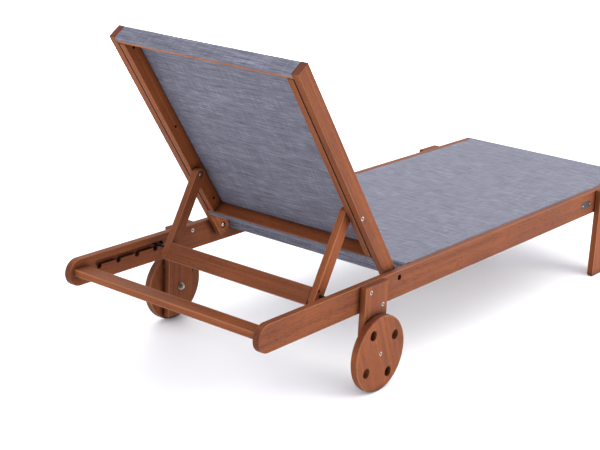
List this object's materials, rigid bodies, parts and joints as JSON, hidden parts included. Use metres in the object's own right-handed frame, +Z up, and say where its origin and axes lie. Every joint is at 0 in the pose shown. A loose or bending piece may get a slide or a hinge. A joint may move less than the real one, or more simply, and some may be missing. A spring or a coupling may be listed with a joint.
{
  "type": "reclining sun lounger",
  "caption": "Low hardwood sun lounger with a woven sling seat, a backrest that reclines on a notched prop rack, wheels and a lifting bar at the head end.",
  "frame": {"origin": "on the floor, below the middle of the lounger's overall box", "axes": "+Z up, +Y towards the head end with the wheels and the lifting bar, +X to the left of a person lying face up"},
  "size_m": [0.71, 1.8399, 0.8401],
  "materials": {
    "oiled_hardwood": "oiled tropical hardwood, satin",
    "dowel_wood": "plain beech",
    "woven_sling": "slate grey-blue woven outdoor sling, slubby weft",
    "stainless_steel": "stainless steel, satin",
    "blackened_steel": "black oxide steel",
    "nylon": "black moulded nylon",
    "badge": "darkened metal plate, blank"
  },
  "bodies": {
    "frame": {"side_rail_left": "oiled_hardwood", "side_rail_right": "oiled_hardwood", "front_leg_left": "oiled_hardwood", "front_leg_right": "oiled_hardwood", "wheel_leg_left": "oiled_hardwood", "wheel_leg_right": "oiled_hardwood", "foot_glide_left": "nylon", "foot_glide_right": "nylon", "axle_bolt_left": "stainless_steel", "axle_bolt_right": "stainless_steel", "seat_lath_left": "oiled_hardwood", "seat_lath_right": "oiled_hardwood", "hinge_bolt_left": "stainless_steel", "hinge_bolt_right": "stainless_steel", "handle_bar": "oiled_hardwood", "leg_bolts": "stainless_steel", "leg_sleeve_nuts": "stainless_steel", "axle_washers": "stainless_steel", "axle_nuts": "stainless_steel", "seat_foot_rail": "oiled_hardwood", "seat_rear_rail": "oiled_hardwood", "seat_cross_rail": "oiled_hardwood", "seat_dowels": "dowel_wood", "seat_screws": "stainless_steel", "seat_sling": "woven_sling", "badge_plate": "badge", "badge_pins": "stainless_steel", "hinge_spacers": "nylon", "hinge_nuts": "stainless_steel"},
    "backrest": {"backrest_stile_left": "oiled_hardwood", "backrest_stile_right": "oiled_hardwood", "backrest_lath_left": "oiled_hardwood", "backrest_lath_right": "oiled_hardwood", "prop_pivot_bolt_left": "stainless_steel", "prop_pivot_bolt_right": "stainless_steel", "backrest_top_rail": "oiled_hardwood", "backrest_bottom_rail": "oiled_hardwood", "backrest_dowels": "dowel_wood", "backrest_screws": "stainless_steel", "backrest_sling": "woven_sling", "prop_pivot_nuts": "stainless_steel", "prop_pivot_washers": "nylon"},
    "prop": {"prop_arm_left": "oiled_hardwood", "prop_arm_right": "oiled_hardwood", "prop_pin_left": "blackened_steel", "prop_pin_right": "blackened_steel", "prop_crossbar": "oiled_hardwood", "prop_screws": "stainless_steel"},
    "wheel_left": {"wheel_left": "oiled_hardwood", "wheel_bush_left": "nylon"},
    "wheel_right": {"wheel_right": "oiled_hardwood", "wheel_bush_right": "nylon"}
  },
  "joints": [
    {"name": "recline", "type": "hinge", "parent": "frame", "child": "backrest", "pos_m": [0, 0.382, 0.255], "axis": [1, 0, 0], "range_deg": [-52.9, 0]},
    {"name": "prop_fold", "type": "hinge", "parent": "backrest", "child": "prop", "pos_m": [0, 0.52237, 0.43276], "axis": [1, 0, 0], "range_deg": [0, 114]},
    {"name": "roll_left", "type": "hinge", "parent": "frame", "child": "wheel_left", "pos_m": [0.3445, 0.502, 0.098], "axis": [1, 0, 0], "continuous": true},
    {"name": "roll_right", "type": "hinge", "parent": "frame", "child": "wheel_right", "pos_m": [-0.3445, 0.502, 0.098], "axis": [1, 0, 0], "continuous": true}
  ],
  "couplings": [
    {"joint": "prop_fold", "follows": "recline", "ratio": -2.153}
  ]
}
